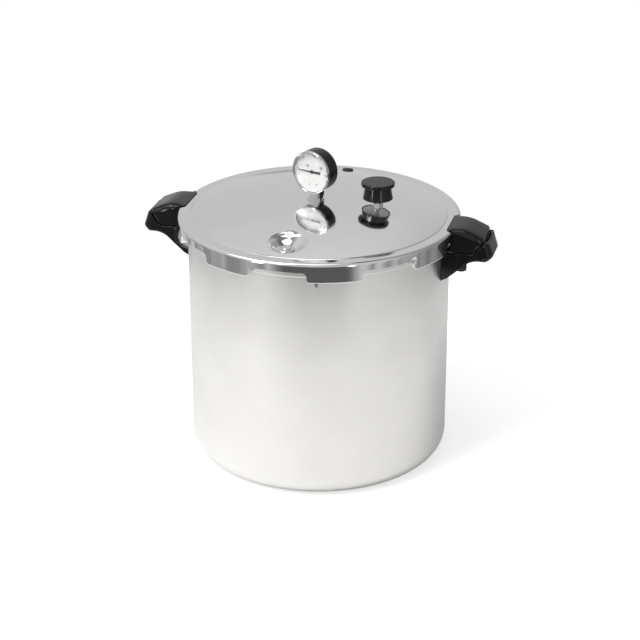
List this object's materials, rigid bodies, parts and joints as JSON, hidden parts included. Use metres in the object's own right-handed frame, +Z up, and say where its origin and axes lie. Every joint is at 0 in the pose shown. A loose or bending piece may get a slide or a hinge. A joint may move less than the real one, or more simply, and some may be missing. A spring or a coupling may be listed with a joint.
{
  "type": "pressure canner",
  "caption": "Large aluminium pressure canner: deep straight pot, bayonet lid with dial gauge, weighted regulator, cover lock, relief plug, black handles and inner rack.",
  "frame": {"origin": "centre of the pot's flat base, on the surface that it stands on", "axes": "+X across the two handles, towards the vent pipe and regulator; +Y from the cover lock to the overpressure plug; +Z up along the pot's axis"},
  "size_m": [0.4264, 0.3354, 0.3806],
  "materials": {
    "pot_aluminium": "fine satin, brushed around the wall",
    "lid_polished": "mirror polished",
    "bracket_aluminium": "mill finish, lightly polished",
    "rack_aluminium": "mill finish",
    "black_phenolic": "glossy moulded phenolic",
    "black_rubber": "matt",
    "plated_steel": "zinc plated",
    "bright_chrome": "bright",
    "gauge_black": "semi-gloss black",
    "gauge_brass": "plain",
    "clear_glass": "clear",
    "dial_white": "matt white with printed scale",
    "needle_black": "matt black"
  },
  "bodies": {
    "pot": {"pot_body": "pot_aluminium", "body_bracket_right": "bracket_aluminium", "body_bracket_left": "bracket_aluminium", "body_handle_right": "black_phenolic", "body_handle_left": "black_phenolic", "body_handle_screws": "plated_steel", "body_handle_nuts": "plated_steel", "lock_keeper": "bracket_aluminium"},
    "lid": {"lid_shell": "lid_polished", "sealing_ring": "black_rubber", "lid_bracket_right": "bracket_aluminium", "lid_bracket_left": "bracket_aluminium", "lid_handle_right": "black_phenolic", "lid_handle_left": "black_phenolic", "lid_handle_screws": "plated_steel", "overpressure_plug": "black_rubber", "vent_pipe": "bright_chrome", "vent_pipe_nut": "plated_steel", "lock_bushing": "bright_chrome", "lock_nut": "plated_steel", "gauge_stem": "bright_chrome", "gauge_stem_nut": "plated_steel", "gauge_case": "gauge_black", "gauge_bezel": "bright_chrome", "gauge_lens": "clear_glass", "gauge_dial": "dial_white", "gauge_movement_plate": "gauge_brass", "gauge_bourdon_tube": "gauge_brass", "gauge_dial_screws": "plated_steel"},
    "rack": {"canning_rack": "rack_aluminium"},
    "regulator": {"regulator_cap": "black_phenolic", "regulator_weight": "plated_steel"},
    "lock_plunger": {"lock_pin": "bright_chrome", "lock_pin_seal": "black_rubber"},
    "sector": {"gauge_sector_gear": "gauge_brass"},
    "needle": {"gauge_pinion": "gauge_brass", "gauge_needle": "needle_black"}
  },
  "joints": [
    {"name": "lid_turn", "type": "hinge", "parent": "pot", "child": "lid", "pos_m": [0, 0, 0.3], "axis": [0, 0, 1], "range_deg": [0, 22.5]},
    {"name": "rack_lift", "type": "slide", "parent": "pot", "child": "rack", "axis": [0, 0, 1], "range_m": [0, 0.2]},
    {"name": "regulator_lift", "type": "slide", "parent": "lid", "child": "regulator", "axis": [0, 0, 1], "range_m": [0, 0.04]},
    {"name": "cover_lock_rise", "type": "slide", "parent": "lid", "child": "lock_plunger", "axis": [0, 0, 1], "range_m": [0, 0.005]},
    {"name": "sector_swing", "type": "hinge", "parent": "lid", "child": "sector", "pos_m": [0.00526, -0.00996, 0.34065], "axis": [-0.3486, -0.9373, 0], "range_deg": [0, 33.33]},
    {"name": "needle_turn", "type": "hinge", "parent": "lid", "child": "needle", "pos_m": [-0.00261, -0.00703, 0.3552], "axis": [-0.3486, -0.9373, 0], "range_deg": [-200, 0]}
  ],
  "couplings": [
    {"joint": "needle_turn", "follows": "sector_swing", "ratio": -6}
  ]
}
